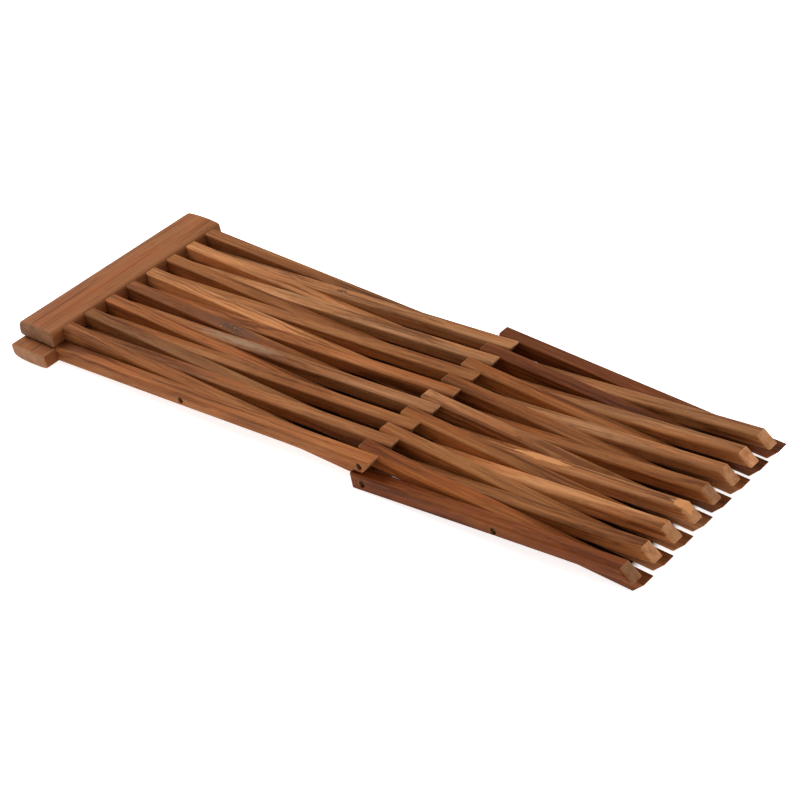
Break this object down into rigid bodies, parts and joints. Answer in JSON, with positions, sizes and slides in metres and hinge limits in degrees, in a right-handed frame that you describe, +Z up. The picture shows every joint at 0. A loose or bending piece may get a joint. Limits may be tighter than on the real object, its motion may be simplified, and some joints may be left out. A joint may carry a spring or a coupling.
{
  "type": "folding slatted stool",
  "caption": "Folding hardwood stool shown folded flat: interleaved leg and seat slats turn on four cross rods, with a broad foot rail under each set of legs.",
  "frame": {"origin": "centre of the folded stool's outline, on the floor that it lies on", "axes": "+X from the foot rails to the free slat ends, +Y across the slats, +Z up out of the flat folded stool"},
  "size_m": [0.9708, 0.3376, 0.0492],
  "materials": {
    "teak_honey": "oiled hardwood, satin",
    "teak_orange": "oiled hardwood, satin",
    "teak_brown": "oiled hardwood, satin",
    "teak_red": "oiled hardwood, satin",
    "teak_grey": "oiled hardwood, satin",
    "rod_steel": "dull steel",
    "cap_brass": "dark aged brass"
  },
  "bodies": {
    "lower_legs": {"lower_foot_rail": "teak_brown", "lower_leg_slat_1": "teak_orange", "lower_leg_slat_2": "teak_honey", "lower_leg_slat_3": "teak_orange", "lower_leg_slat_4": "teak_honey", "lower_leg_slat_5": "teak_grey", "lower_leg_slat_6": "teak_red", "lower_leg_slat_7": "teak_red", "lower_leg_slat_8": "teak_honey", "leg_pivot_rod": "rod_steel", "leg_pivot_front_cap": "cap_brass", "leg_pivot_back_cap": "cap_brass", "upper_hinge_rod": "rod_steel", "upper_hinge_front_cap": "cap_brass", "upper_hinge_back_cap": "cap_brass"},
    "upper_legs": {"upper_foot_rail": "teak_brown", "upper_leg_slat_1": "teak_grey", "upper_leg_slat_2": "teak_grey", "upper_leg_slat_3": "teak_orange", "upper_leg_slat_4": "teak_brown", "upper_leg_slat_5": "teak_honey", "upper_leg_slat_6": "teak_red", "upper_leg_slat_7": "teak_honey", "upper_leg_slat_8": "teak_brown", "lower_hinge_rod": "rod_steel", "lower_hinge_front_cap": "cap_brass", "lower_hinge_back_cap": "cap_brass"},
    "rising_seat": {"rising_seat_slat_1": "teak_red", "rising_seat_slat_2": "teak_orange", "rising_seat_slat_3": "teak_honey", "rising_seat_slat_4": "teak_brown", "rising_seat_slat_5": "teak_brown", "rising_seat_slat_6": "teak_honey", "rising_seat_slat_7": "teak_honey", "rising_seat_slat_8": "teak_orange", "seat_pivot_rod_rising": "rod_steel", "seat_pivot_front_cap": "cap_brass"},
    "falling_seat": {"falling_seat_slat_1": "teak_grey", "falling_seat_slat_2": "teak_honey", "falling_seat_slat_3": "teak_brown", "falling_seat_slat_4": "teak_orange", "falling_seat_slat_5": "teak_brown", "falling_seat_slat_6": "teak_honey", "falling_seat_slat_7": "teak_red", "falling_seat_slat_8": "teak_red", "seat_pivot_rod_falling": "rod_steel", "seat_pivot_back_cap": "cap_brass"}
  },
  "joints": [
    {"name": "rising_seat_fold", "type": "hinge", "parent": "rising_seat", "child": "upper_legs", "pos_m": [0.10735, 0, 0.0118], "axis": [0, 1, 0], "range_deg": [0, 124.5]},
    {"name": "leg_fold", "type": "hinge", "parent": "upper_legs", "child": "lower_legs", "pos_m": [-0.18737, 0, 0.0246], "axis": [0, -1, 0], "range_deg": [0, 76.7]},
    {"name": "falling_seat_fold", "type": "hinge", "parent": "lower_legs", "child": "falling_seat", "pos_m": [0.10735, 0, 0.0374], "axis": [0, 1, 0], "range_deg": [0, 124.5]}
  ],
  "couplings": [
    {"joint": "rising_seat_fold", "follows": "leg_fold", "ratio": 1.6231},
    {"joint": "falling_seat_fold", "follows": "leg_fold", "ratio": 1.6231}
  ]
}
